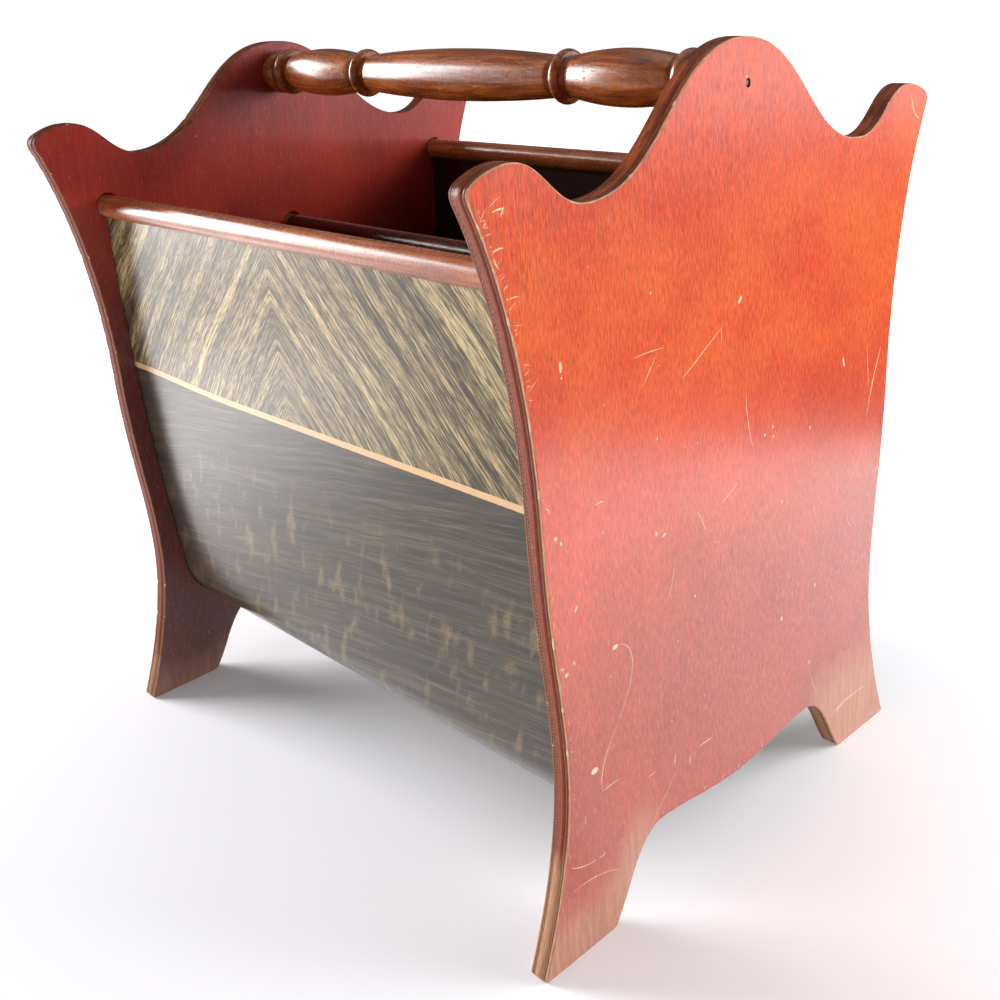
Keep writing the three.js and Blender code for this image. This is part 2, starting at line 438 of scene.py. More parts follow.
def cut_joinery(board, side):
    """Sockets, grooves and the nail hole, cut into the inner face."""
    inside = side * (INNER_X - OVERCUT * MM)
    half = SHEET / 2 + FIT

    def reach(depth):
        return side * (INNER_X + depth * MM)

    groove = [*beside(TROUGH, half), *beside(TROUGH, -half)[::-1]]
    cut(board, prism(groove, inside, reach(SHEET_GROOVE)))
    low, high = TROUGH_FLOOR, DIVIDER_RAIL.y - RAIL_RADIUS + KERF_DEPTH
    slit = [Vector(p) for p in ((-half, low), (half, low), (half, high), (-half, high))]
    cut(board, prism(slit, inside, reach(SHEET_GROOVE)))
    sockets = []
    for centre, lift in ((FRONT_RAIL, 1), (BACK_RAIL, 1), (DIVIDER_RAIL, 2)):
        shape = slot_profile(centre, RAIL_RADIUS + FIT, lift * SOCKET_LIFT)
        sockets.append(prism(shape, inside, reach(RAIL_SOCKET)))
    grip = slot_profile(Vector((0, HANDLE_Z / MM)), TENON_RADIUS + FIT, 0.01)
    sockets.append(prism(grip, inside, reach(TENON_LENGTH + FIT)))
    cut(board, join_tools(sockets))
    centre = Vector((side * NAIL_Y / MM, NAIL_Z / MM - NAIL_BORE_PLAY / 2))
    hole = slot_profile(centre, NAIL_BORE, NAIL_BORE_PLAY)
    cut(board, prism(hole, inside, side * (BOARD_HIGH.x + OVERCUT * MM)))


# ---------------------------------------------------------------- scratches and dents
def stroke(controls, width, count=None):
    """A scratch along a Bezier curve: its centre line and its half widths, tapering to both ends."""
    controls = [Vector(p) for p in controls]
    length = sum((b - a).length for a, b in zip(controls, controls[1:]))
    count = count or max(4, round(length / 2.5))
    centres = [controls[0]] + bezier(controls, count)
    halves = [width / 2 * (0.25 + 0.75 * math.sin(math.pi * k / count)) for k in range(count + 1)]
    return centres, halves


def dent(centre, length, width, angle):
    """An oval dent where the varnish has come off."""
    along = polar(math.radians(angle))
    centre = Vector(centre)
    centres = [centre + along * length * (k / 6 - 0.5) for k in range(7)]
    halves = [width / 2 * math.sqrt(max(0.0, 1 - (k / 3 - 1) ** 2)) for k in range(7)]
    return centres, halves


def edge_nicks(seed, count, low, high, reach):
    """Short scratches that start at the board's edge and run inwards."""
    rng = random.Random(seed)
    loop = board_outline()
    normals = outward(loop)
    spots = [k for k, p in enumerate(loop) if inside_box(p, low, high)]
    made = []
    for _ in range(count):
        k = rng.choice(spots)
        p, normal = loop[k], normals[k].normalized()
        along = Vector((-normal.y, normal.x)) * rng.uniform(-0.6, 0.6)
        start = p - normal * 1.7
        end = start + (along - normal) * rng.uniform(0.8, reach) * rng.random() ** 0.7
        if (end - start).length > 0.5:
            made.append(stroke((start, end), rng.uniform(0.08, 0.26), 4))
    return made


def specks(seed, count, low, high):
    """Tiny dents scattered over a part of the face."""
    rng = random.Random(seed)
    made = []
    for _ in range(count):
        spot = (rng.uniform(low[0], high[0]), rng.uniform(low[1], high[1]))
        size = 0.35 + 1.1 * rng.random() ** 4
        made.append(dent(spot, size * rng.uniform(1, 2), size * 0.6, rng.uniform(40, 130)))
    return made


RIGHT_SCRATCHES = (
    # from the horn at the back to the back edge
    (((140.6, 344), (143, 336), (144.6, 334.8)), 0.9),
    (((144.6, 334.8), (147, 332.5), (149.9, 331.7)), 0.7),
    (((121.5, 221.4), (113, 204), (109.2, 185.3)), 0.85),
    (((107.4, 225.3), (109, 212), (110.5, 200.3)), 0.35),
    (((98.9, 128.7), (93, 132), (94.6, 139)), 0.25),
    # across the middle
    (((-42.6, 246), (-30, 253), (-13.5, 262.6)), 0.38),
    (((-14.2, 262.8), (-14.6, 259), (-13.9, 254.5)), 0.25),
    (((-73.7, 263.2), (-63, 264), (-52.4, 262.9)), 0.28),
    (((-67.8, 249.7), (-62, 256), (-58.4, 261.6)), 0.3),
    (((4, 229.2), (4.5, 214), (9.8, 200.2)), 0.4),
    (((-98.8, 208.6), (-95, 209.4), (-92.8, 208.4)), 0.5),
    (((-125.9, 216.7), (-124.6, 216), (-123.9, 213.9)), 0.6),
    (((-32, 183.1), (-28, 178), (-25.4, 170.3)), 0.42),
    (((-14, 180.3), (-7, 184), (-0.9, 186.8)), 0.25),
    (((-48, 166.1), (-49, 153), (-54, 147.8)), 0.3),
    # the long curl and its neighbours, low at the front
    (((-86.5, 141.2), (-72, 137), (-77, 118), (-88, 104)), 0.42),
    (((-88, 104), (-98, 92), (-100, 84), (-99.5, 75.5)), 0.5),
    (((-99.5, 75.6), (-94, 76.4), (-87.4, 75.9)), 0.45),
    (((-32.2, 63), (-26, 63.6), (-20.4, 62.8)), 0.5),
    (((-49.8, 62.5), (-49, 65), (-48.6, 69.4)), 0.8),
    (((-38.6, 57), (-38.2, 60), (-37.6, 62.4)), 0.6),
    (((-69.5, 66), (-66, 66.8), (-62.4, 66.4)), 0.3),
    (((-68.1, 39.2), (-58, 48), (-49.1, 58.9)), 0.35),
    (((-110.5, 65.1), (-110.4, 67), (-110.1, 69.5)), 0.7),
    # feet
    (((-121.2, 49.6), (-115, 44.5), (-103, 43.5)), 0.4),
    (((-103, 43.5), (-99, 42.8), (-98.3, 44.6)), 0.4),
    (((-121, 36), (-104, 38), (-88, 29)), 0.3),
    (((61.8, 63.5), (63, 56), (68.3, 44.7)), 0.35),
    (((83.2, 22.8), (98, 28), (120.8, 25)), 0.4),
    (((88, 21), (92, 25), (99, 26)), 0.3),
    # worn corner of the front horn
    (((-146.2, 334), (-143, 334.9), (-139.4, 334.6)), 0.7),
    (((-147.5, 335.9), (-144, 338), (-141.5, 339.1)), 0.3),
    (((-142, 331.9), (-140.6, 333), (-140.3, 335.4)), 0.8),
    (((-150.6, 329.6), (-149.6, 330), (-149, 331.5)), 0.5),
    (((-147.1, 319.7), (-144.5, 321.4), (-140.9, 320.8)), 0.7),
    (((-146.3, 318.4), (-145.6, 316), (-143.9, 313.5)), 0.6),
    (((-140.2, 301.8), (-138, 302.6), (-134.2, 302.1)), 0.4),
)
RIGHT_DENTS = (
    ((-0.7, 271.8), 4.2, 1.5, 50),
    ((-114.9, 270.5), 5.0, 1.7, 92),
    ((-114.6, 266.2), 1.2, 0.9, 90),
    ((-121.2, 202.4), 2.4, 1.7, 140),
    ((-118.3, 199.3), 2.2, 1.3, 100),
    ((-60, 182.4), 2.6, 1.4, 110),
    ((-54.8, 180), 3.0, 1.3, 20),
    ((-88.4, 140.8), 3.8, 2.2, 5),
    ((-103.6, 88.3), 4.8, 3.0, 0),
    ((-118.2, 141.1), 2.3, 2.0, 20),
    ((-120.4, 144.6), 1.9, 1.2, 0),
    ((-113.5, 144.5), 2.2, 1.1, 90),
    ((-111.5, 168), 3.2, 1.2, 60),
    ((56.9, 195.7), 1.6, 1.0, 70),
    ((19.2, 203.2), 1.7, 0.9, 30),
    ((25.4, 205.5), 1.7, 0.9, 100),
    ((26, 200.5), 1.4, 0.9, 120),
    ((35.5, 101.8), 3.4, 1.4, 100),
    ((61.5, 66), 2.4, 1.0, 60),
    ((85.6, 221.5), 6.0, 1.4, 105),
    ((62.3, 151.8), 3.6, 0.8, 95),
    ((65, 108.8), 3.4, 0.7, 95),
    ((3.2, 365.6), 1.6, 0.9, 120),
)


def right_marks():
    """Every scratch and dent of the board at +X: the large ones in place, the small ones strewn."""
    made = [stroke(points, width) for points, width in RIGHT_SCRATCHES]
    made += [dent(*row) for row in RIGHT_DENTS]
    made += edge_nicks(11, 46, (-158, 255), (-128, 336), 7)
    made += edge_nicks(12, 16, (-130, 40), (-116, 255), 2.5)
    made += edge_nicks(13, 14, (-60, 30), (60, 41), 3)
    made += specks(14, 34, (-115, 80), (112, 320))
    return made


def left_marks():
    """The marks of the board at -X, all strewn."""
    made = specks(24, 50, (-112, 80), (112, 320))
    made += edge_nicks(21, 30, (100, 60), (158, 330), 5)
    made += edge_nicks(22, 16, (-158, 60), (-100, 330), 4)
    rng = random.Random(25)
    for _ in range(12):
        start = Vector((rng.uniform(-90, 90), rng.uniform(80, 300)))
        bend = start + Vector((rng.uniform(-12, 12), rng.uniform(-14, 14)))
        end = bend + Vector((rng.uniform(-14, 14), rng.uniform(-14, 4)))
        made.append(stroke((start, bend, end), rng.uniform(0.2, 0.5)))
    return made


def right_crack(p):
    """The glue line that has opened down the front edge, widest at the foot."""
    if p.x > CRACKED_BEFORE:
        return 0.0
    return 0.25 + 0.9 * rise(-p.y, -70, -8) + 0.2 * noise.noise(Vector((0, 0, p.y * 0.08)))


def left_crack(_):
    """The same line on the board at -X, which is almost tight all round."""
    return 0.1


# ---------------------------------------------------------------- trough, divider, rails, handle, nails
def trough_shell(materials):
    """The bent sheet. Its attribute 'run' is the distance along its outer face from the front top."""
    half = INNER_X / MM + SHEET_GROOVE - FIT
    outer = beside(TROUGH, SHEET / 2)
    inner = beside(TROUGH, -SHEET / 2)
    bm = bmesh.new()
    run_layer = bm.verts.layers.float.new("run")
    columns = 48
    runs = [0.0]
    for a, b in zip(outer, outer[1:]):
        runs.append(runs[-1] + (b - a).length)

    def sheet(line, material):
        rings = []
        for k in range(columns + 1):
            x = half * (2 * k / columns - 1)
            ring = []
            for p, run in zip(line, runs):
                vert = bm.verts.new((x * MM, p.x * MM, p.y * MM))
                vert[run_layer] = run * MM
                ring.append(vert)
            rings.append(ring)
        loft(bm, rings, material, closed=False)
        return rings

    out_rings, in_rings = sheet(outer, 0), sheet(inner, 1)
    for a, b in ((out_rings[0], in_rings[0]), (out_rings[-1], in_rings[-1])):
        loft(bm, [a, b], 2, closed=False)
    for end in (0, -1):
        loft(bm, [[r[end] for r in out_rings], [r[end] for r in in_rings]], 2, closed=False)
    shell = make_object("trough_sheet", bm, materials)
    shell.data.set_sharp_from_angle(angle=math.radians(40))
    return shell


def divider(materials):
    """The centre sheet, with its long edges eased."""
    ease = 0.5
    half = SHEET / 2
    low, high = DIVIDER_LOW.z / MM, DIVIDER_HIGH.z / MM
    section = [Vector((-half, low + ease)), Vector((-half, high - ease)), Vector((-half + ease, high))]
    section += [Vector((-p.x, p.y)) for p in section[::-1]]
    section += [Vector((half - ease, low)), Vector((-half + ease, low))]
    columns = 24
    outlines = []
    for k in range(columns + 1):
        x = DIVIDER_LOW.x + (DIVIDER_HIGH.x - DIVIDER_LOW.x) * k / columns
        outlines.append([(x, p.x * MM, p.y * MM) for p in section])
    return closed_rod("divider_sheet", outlines, 30, materials)


def cap_rail(name, node, centre, kerf_y, seed, materials):
    """A round rail with a kerf along its underside, very slightly uneven as sanded dowel is."""
    low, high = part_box(node)
    kerf = SHEET / 2 + FIT
    offset = kerf_y - centre.x
    reach = RAIL_RADIUS - 0.02
    end_ease = 0.35
    unevenness = 0.045
    right = math.asin((offset + kerf) / reach)
    left = math.asin((offset - kerf) / reach)
    around, columns = 72, 90
    arc = [-math.pi / 2 + right + (2 * math.pi - right + left) * k / around for k in range(around + 1)]
    top = -RAIL_RADIUS + KERF_DEPTH
    outlines = []
    for k in range(columns + 1):
        x = low.x + (high.x - low.x) * k / columns
        outline = []
        ease = end_ease if k in (0, columns) else 0.0
        for out in map(polar, arc):
            uneven = unevenness * noise.noise(Vector((x * 14, 0.8 * out.x + seed, out.y)))
            r = reach - 0.05 + uneven - ease
            outline.append((x, (centre.x + r * out.x) * MM, (centre.y + r * out.y) * MM))
        for y in (offset - kerf, offset + kerf):
            outline.append((x, (centre.x + y) * MM, (centre.y + top) * MM))
        outlines.append(outline)
    return closed_rod(name, outlines, 45, materials)


def handle_profile():
    """The turned handle from mid length to one end, as (x, radius) millimetres."""
    line = [Vector((0, 13.1))]

    def to(*controls, count=1):
        line.extend(bezier([tuple(line[-1])] + list(controls), count))

    def bead(centre, half_width, base, crown):
        pull = (4 * crown - base) / 3
        to((centre - half_width, base))
        to((centre - half_width, pull), (centre + half_width, pull), (centre + half_width, base), count=22)

    def cove(start, end, radius):
        to((start, line[-1].y), (start, radius), (0.5 * (start + end), radius), count=6)
        to((end, radius), count=2)

    to((34, 13.1), (66.5, 10.1), count=26)
    cove(68.2, 71.6, 8.6)
    bead(74.4, 2.6, 9.6, 12.9)
    cove(77.3, 79.6, 8.6)
    to((81.2, 10.2), count=2)
    to((96.5, 13.1), (110, 13.1), count=14)
    to((124.5, 13.1), (138, 10.3), count=14)
    cove(139.4, 141.9, 8.9)
    bead(145.4, 3.3, 10.2, 13.1)
    to((149.8, 9.8), count=2)
    bead(154.1, 3.5, 10.2, 12.7)
    to((158.6, 10.6))
    shoulder = INNER_X / MM - FIT
    to((shoulder, 10.6))
    to((shoulder, TENON_RADIUS - 0.05))
    end = INNER_X / MM + TENON_LENGTH
    to((end - 0.8, TENON_RADIUS - 0.05))
    to((end, TENON_RADIUS - 0.8))
    return line


def turned_handle(materials):
    """The handle, with the faint wobble and chatter of hand turning."""
    half = handle_profile()
    whole = [Vector((-p.x, p.y)) for p in half[:0:-1]] + half
    around = 96
    unevenness = 0.06
    outlines = []
    for p in whole:
        outline = []
        for k in range(around):
            out = polar(2 * math.pi * k / around)
            wobble = unevenness * noise.noise(Vector((p.x * 0.05, out.x, out.y))) - unevenness
            r = p.y + wobble * rise(p.y, TENON_RADIUS, TENON_RADIUS + 1)
            outline.append((p.x * MM, out.x * r * MM, HANDLE_Z + out.y * r * MM))
        outlines.append(outline)
    return closed_rod("carrying_handle", outlines, 50, materials)


def brad(name, side, materials):
    """A finishing nail: a slightly domed, dimpled head on a pointed shank."""
    head, tip = NAIL_HIGH.x / MM, NAIL_LOW.x / MM
    profile = [(tip + 0.05, 0.05), (tip + 3, 0.78), (head - 1.7, 0.78), (head - 0.95, 1.38)]
    profile += [(head - 0.25, 1.38), (head - 0.08, 1.25), (head - 0.02, 0.95), (head - 0.02, 0.55)]
    profile += [(head - 0.2, 0.35), (head - 0.25, 0.05)]
    around = 32
    outlines = []
    for x, r in profile:
        circle = [r * MM * polar(2 * math.pi * k / around) for k in range(around)]
        outlines.append([(side * x * MM, side * (NAIL_Y + p.x), NAIL_Z + p.y) for p in circle])
    return closed_rod(name, outlines, 50, materials)


# ---------------------------------------------------------------- material nodes
def paint(red, green, blue):
    """An sRGB colour, 0 to 255, as a linear one."""
    parts = [c / 255 for c in (red, green, blue)]
    return tuple(c / 12.92 if c < 0.04 else ((c + 0.055) / 1.055) ** 2.4 for c in parts) + (1.0,)


class Graph:
    """Short calls that build one material's nodes. Sockets and plain values can both be passed."""

    def __init__(self, name):
        self.material = bpy.data.materials.new(name)
        self.material.use_nodes = True
        self.tree = self.material.node_tree
        self.shader = self.tree.nodes["Principled BSDF"]
        split = self.add("ShaderNodeSeparateXYZ")
        self.plug(split.inputs[0], self.add("ShaderNodeTexCoord").outputs["Object"])
        self.x, self.y, self.z = [self.maths("MULTIPLY", out, 1000.0) for out in split.outputs]

    def add(self, kind, **settings):
        """A new node with its settings made."""
        node = self.tree.nodes.new(kind)
        for key, value in settings.items():
            setattr(node, key, value)
        return node

    def plug(self, socket, value):
        """Links a socket to an input, or sets the input to a plain value."""
        if isinstance(value, bpy.types.NodeSocket):
            self.tree.links.new(value, socket)
        else:
            socket.default_value = value

    def maths(self, operation, a, b=0.0):
        """One Math node on one or two values."""
        node = self.add("ShaderNodeMath", operation=operation)
        for socket, value in zip(node.inputs, (a, b)):
            self.plug(socket, value)
        return node.outputs[0]

    def plus(self, a, b):
        return self.maths("ADD", a, b)

    def times(self, a, b):
        return self.maths("MULTIPLY", a, b)

    def minus(self, a, b):
        return self.maths("SUBTRACT", a, b)

    def either(self, a, b):
        return self.maths("MAXIMUM", a, b)

    def absolute(self, a):
        return self.maths("ABSOLUTE", a)

    def weigh(self, *parts):
        """The sum of (value, weight) pairs."""
        total = self.times(*parts[0])
        for part in parts[1:]:
            total = self.plus(total, self.times(*part))
        return total

    def attribute(self, name):
        """A number stored on the mesh's points."""
        return self.add("ShaderNodeAttribute", attribute_name=name).outputs["Fac"]

    def noise(self, x, y, z, size, detail=2.0, roughness=0.5):
        """Noise whose blobs have about the given sizes along x, y and z, all in millimetres."""
        place = self.add("ShaderNodeCombineXYZ")
        for socket, part, length in zip(place.inputs, (x, y, z), size):
            self.plug(socket, self.times(part, 1 / length))
        node = self.add("ShaderNodeTexNoise")
        self.plug(node.inputs["Vector"], place.outputs[0])
        node.inputs["Scale"].default_value = 1.0
        node.inputs["Detail"].default_value = detail
        node.inputs["Roughness"].default_value = roughness
        return node.outputs["Fac"]

    def solid(self, size, detail=2.0, roughness=0.5):
        """Noise right through the wood."""
        return self.noise(self.x, self.y, self.z, size, detail, roughness)

    def rise(self, value, low, high, top=1.0, bottom=0.0):
        """bottom below low, top above high, and a smooth step between them."""
        node = self.add("ShaderNodeMapRange", interpolation_type="SMOOTHSTEP")
        for socket, given in zip(node.inputs, (value, low, high, bottom, top)):
            self.plug(socket, given)
        return node.outputs[0]

    def band(self, value, centre, half, soft):
        """1 within half of the centre, 0 beyond half + soft."""
        away = self.absolute(self.minus(value, centre))
        return self.rise(away, half, half + soft, 0.0, 1.0)

    def mix(self, amount, a, b, blend="MIX"):
        """Colour a with an amount of colour b over it."""
        node = self.add("ShaderNodeMix", data_type="RGBA", blend_type=blend)
        self.plug(node.inputs[0], amount)
        self.plug(node.inputs[6], a)
        self.plug(node.inputs[7], b)
        return node.outputs[2]

    def ramp(self, value, stops):
        """A colour ramp from (position, colour) rows; a colour may be one grey level."""
        node = self.add("ShaderNodeValToRGB")
        self.plug(node.inputs[0], value)
        bar = node.color_ramp
        while len(bar.elements) < len(stops):
            bar.elements.new(0.5)
        for element, (position, colour) in zip(bar.elements, stops):
            element.position = position
            element.color = colour if isinstance(colour, tuple) else (colour, colour, colour, 1.0)
        return node.outputs[0]

    def bump(self, height, distance):
        """Bump from a height of 0 to 1 that stands for a distance in millimetres."""
        node = self.add("ShaderNodeBump")
        node.inputs["Strength"].default_value = 1.0
        node.inputs["Distance"].default_value = distance * MM
        self.plug(node.inputs["Height"], height)
        self.plug(self.shader.inputs["Normal"], node.outputs[0])
        self.plug(self.shader.inputs["Coat Normal"], node.outputs[0])

    def finish(self, colour, roughness, coat=0.0, coat_roughness=0.1, specular=0.5):
        """Joins the colour and roughness to the shader and gives back the material."""
        self.plug(self.shader.inputs["Base Color"], colour)
        self.plug(self.shader.inputs["Roughness"], roughness)
        self.shader.inputs["Coat Weight"].default_value = coat
        self.shader.inputs["Coat Roughness"].default_value = coat_roughness
        self.shader.inputs["Specular IOR Level"].default_value = specular
        return self.material


# ---------------------------------------------------------------- materials
CREAM = paint(240, 214, 168)
RAW_TAN = paint(212, 164, 130)
RAW_BROWN = paint(190, 132, 106)
# Places on the boards, in millimetres: the worn feet, the painted glow of light at mid height and the
# greyed top
FRONT_FOOT_Y = (-96, -79)
LEG_INSIDE_Y = (58, 74)
PAINTED_GLOW_Z, PAINTED_GLOW_HALF, PAINTED_GLOW_BLUR = 275, 22, 80
GREYED_Z = (300, 392)
# The crossband's depth in the board, its half thickness and its blur, and its hatching's pitch
CROSSBAND = (7.62, 0.3, 0.15)
HATCH_PITCH = 1.55


def foot_wear(g, front_height, back_height):
    """Where the feet have lost their varnish: below a ragged height that differs front and back."""
    height = g.rise(g.y, *FRONT_FOOT_Y, back_height, front_height)
    ragged = g.times(g.solid((9, 9, 14), 4.0, 0.65), 22.0)
    streaks = g.times(g.solid((1, 1.1, 12), 3.0), 8.0)
    edge = g.plus(g.minus(height, g.z), g.plus(ragged, g.plus(streaks, -15.0)))
    legs = g.rise(g.absolute(g.y), *LEG_INSIDE_Y)
    return g.times(g.rise(edge, -18, 14), legs)


def varnished_face(name, colours, low_shade_span, wear, roughness, gloss, speckled):
    """Red varnish over upright grain: mottled, with a painted glow of light at mid height, greyed at the
    top and darker below the low span as painted shade. wear gives the heights below which the front and
    back feet have lost it."""
    dark, light, painted_glow_colour, low_shade_dark, low_shade_light = [paint(*colour) for colour in colours]
    g = Graph(name)
    cloud = g.solid((60, 46, 70), 3.0, 0.55)
    grain = g.solid((3, 2.4, 32), 4.0, 0.6)
    fleck = g.solid((2, 0.65, 6), 3.0, 0.6)
    grit = g.solid((0.9, 0.7, 1.2), 2.0, 0.6)
    tone = g.weigh((cloud, 0.3), (grain, 0.22), (fleck, 0.24), (grit, 0.24))
    colour = g.ramp(tone, [(0.36, dark), (0.62, light)])
    # Painted light: a lighter, more orange glow at mid height, stronger towards +Y and higher up
    glow = g.times(g.solid((60, 46, 38), 2.0, 0.55), g.band(g.z, PAINTED_GLOW_Z, PAINTED_GLOW_HALF, PAINTED_GLOW_BLUR))
    glow = g.plus(glow, g.times(g.rise(g.y, 50, 150, 0.14), g.rise(g.z, 200, 260)))
    colour = g.mix(g.rise(glow, 0.28, 0.72, 0.6), colour, painted_glow_colour)
    # Painted shade: the face turns darker below the low span, towards the bottom of the board and down
    # inside the trough
    low = g.rise(g.plus(g.z, g.times(cloud, 40)), *low_shade_span, 0.0, 0.7)
    colour = g.mix(low, colour, g.ramp(tone, [(0.4, low_shade_dark), (0.58, low_shade_light)]))
    dull = g.times(g.rise(fleck, 0.53, 0.7), 0.35)
    colour = g.mix(dull, colour, paint(136, 50, 44))
    upper = g.rise(g.plus(g.z, g.times(cloud, 60)), *GREYED_Z)
    streak = g.rise(g.solid((2, 1.0, 14), 4.0, 0.65), 0.44, 0.66)
    colour = g.mix(g.times(g.times(upper, streak), 0.45), colour, paint(124, 66, 76))
    pale = g.rise(g.solid((2, 0.7, 5), 2.0, 0.5), 0.62, 0.78)
    colour = g.mix(g.times(pale, 0.4), colour, paint(246, 130, 84))
    speck = g.rise(g.solid((2.2, 2.2, 3.2), 1.0, 0.4), 0.83, 0.86)
    colour = g.mix(g.times(speck, 0.7), colour, CREAM)
    speckle = g.solid((0.58, 0.48, 4.2), 2.0, 0.6)
    shaded = g.times(g.rise(speckle, 0.36, 0.54, 0.0, 0.52), speckled)
    colour = g.mix(shaded, colour, paint(186, 144, 140), "MULTIPLY")
    lit = g.times(g.rise(speckle, 0.52, 0.7, 0.26), speckled)
    colour = g.mix(lit, colour, paint(255, 152, 104))
    bare = foot_wear(g, *wear)
    wood = g.mix(g.rise(g.plus(grain, g.times(fleck, 0.5)), 0.55, 0.95), RAW_BROWN, RAW_TAN)
    colour = g.mix(g.times(bare, 0.7), colour, wood)
    peel = g.solid((0.9, 0.9, 1.5), 2.0, 0.6)
    g.bump(peel, 0.012)
    rough = g.plus(g.times(peel, 0.06), g.plus(g.times(bare, 0.3), roughness - 0.03))
    return g.finish(colour, rough, coat=gloss, coat_roughness=0.22, specular=gloss)


def bare_wood(name):
    """Pale wood shown by a scratch or a chip."""
    g = Graph(name)
    grain = g.solid((0.8, 0.5, 3), 2.0)
    colour = g.ramp(grain, [(0.3, paint(222, 186, 136)), (0.6, paint(250, 232, 196))])
    g.bump(grain, 0.05)
    return g.finish(colour, g.rise(grain, 0.2, 0.8, 0.85, 0.7))


PLY_COLOURS = (
    (0.00, (214, 92, 56)),
    (0.06, (232, 176, 136)),
    (0.14, (246, 212, 176)),
    (0.48, (236, 192, 154)),
    (0.64, (160, 70, 42)),
    (1.02, (146, 62, 40)),
    (1.10, (28, 14, 10)),
    (1.24, (34, 16, 12)),
    (1.34, (152, 84, 60)),
    (1.80, (140, 74, 52)),
    (2.26, (152, 84, 60)),
    (2.38, (112, 56, 40)),
    (2.50, (132, 60, 40)),
    (4.20, (138, 62, 40)),
    (4.60, (172, 94, 68)),
    (5.00, (140, 64, 42)),
    (6.95, (122, 54, 36)),
    (7.08, (64, 34, 26)),
    (7.20, (104, 64, 50)),
    (8.02, (104, 64, 50)),
    (8.12, (56, 32, 24)),
    (8.24, (150, 82, 56)),
    (9.50, (172, 102, 74)),
)
RAW_PLY_COLOURS = (
    (0.00, (206, 140, 104)),
    (0.34, (240, 188, 149)),
    (0.62, (202, 143, 104)),
    (1.02, (192, 136, 97)),
    (1.10, (44, 20, 11)),
    (1.24, (48, 22, 12)),
    (1.34, (164, 119, 87)),
    (2.26, (144, 102, 73)),
    (2.38, (98, 58, 32)),
    (2.50, (190, 138, 102)),
    (6.95, (178, 126, 93)),
    (7.08, (112, 78, 50)),
    (7.20, (156, 113, 80)),
    (8.02, (148, 106, 74)),
    (8.12, (92, 64, 44)),
    (8.24, (182, 128, 93)),
    (9.50, (204, 149, 112)),
)


def ply_edge(name, raw_below, blush):
    """The board's edge: five plies, a hatched crossband, an open glue line and worn corners."""
    g = Graph(name)
    depth = g.attribute("ply")
    wobble = g.plus(g.times(g.solid((4, 6, 6), 3.0), 0.03), -0.015)
    depth = g.maths("MAXIMUM", g.plus(depth, wobble), 0.0)
    thickness = BOARD_THICKNESS / MM
    stained = g.ramp(depth, [(at / thickness, paint(*colour)) for at, colour in PLY_COLOURS])
    raw = g.ramp(depth, [(at / thickness, paint(*colour)) for at, colour in RAW_PLY_COLOURS])
    along = g.plus(g.z, g.times(g.y, 0.8))
    hatch = g.maths("SINE", g.times(g.plus(along, g.times(depth, 9.5)), 2 * math.pi / HATCH_PITCH))
    hatch = g.rise(g.plus(hatch, g.solid((0.6, 1, 1), 2.0)), 0.4, 1.1)
    hatch = g.times(hatch, g.band(depth, *[part / thickness for part in CROSSBAND]))
    stained = g.mix(g.times(hatch, 0.5), stained, paint(176, 140, 116))
    raw = g.mix(g.times(hatch, 0.6), raw, paint(88, 66, 44))
    fibre = g.solid((0.35, 5, 5), 4.0, 0.65)
    blotch = g.solid((4, 11, 11), 4.0, 0.6)
    bare = g.plus(g.times(g.plus(g.z, g.times(blotch, 26)), -1.0), raw_below + 13)
    bare = g.either(g.rise(bare, -5, 7), g.times(g.rise(blotch, 0.64, 0.72), blush))
    colour = g.mix(bare, stained, raw)
    colour = g.mix(g.rise(fibre, 0.3, 0.7, 0.0, 0.4), colour, paint(52, 30, 26))
    dusty = g.rise(g.solid((0.5, 1.4, 1.4), 3.0, 0.7), 0.56, 0.7, 0.4)
    colour = g.mix(dusty, colour, paint(206, 156, 132))
    varnish = g.attribute("varnish")
    rubbed = g.rise(g.solid((3, 16, 16), 4.0, 0.6), 0.36, 0.62, 0.0, 1.0)
    dark = g.mix(rubbed, paint(88, 34, 12), paint(146, 70, 30))
    inward = g.rise(depth, 0.25 / thickness, 0.8 / thickness, 0.85, 0.1)
    colour = g.mix(g.times(varnish, inward), colour, dark)
    wear = g.attribute("wear")
    chipped = g.plus(wear, g.times(g.solid((1.2, 2.2, 2.2), 3.0, 0.6), 0.9))
    colour = g.mix(g.rise(chipped, 1.0, 1.2, 0.85), colour, paint(236, 204, 164))
    g.bump(g.plus(fibre, g.times(hatch, -0.7)), 0.12)
    rough = g.plus(g.times(varnish, -0.36), g.rise(fibre, 0.2, 0.8, 0.7, 0.56))
    return g.finish(colour, rough, specular=0.3)


def raw_cut(name):
    """Dark brown wood inside the sockets and grooves: painted shade in the recesses."""
    g = Graph(name)
    grain = g.solid((1, 2, 9), 3.0)
    colour = g.ramp(grain, [(0.3, paint(40, 20, 14)), (0.7, paint(92, 50, 32))])
    g.bump(grain, 0.08)
    return g.finish(colour, g.rise(grain, 0.2, 0.8, 0.8, 0.6))


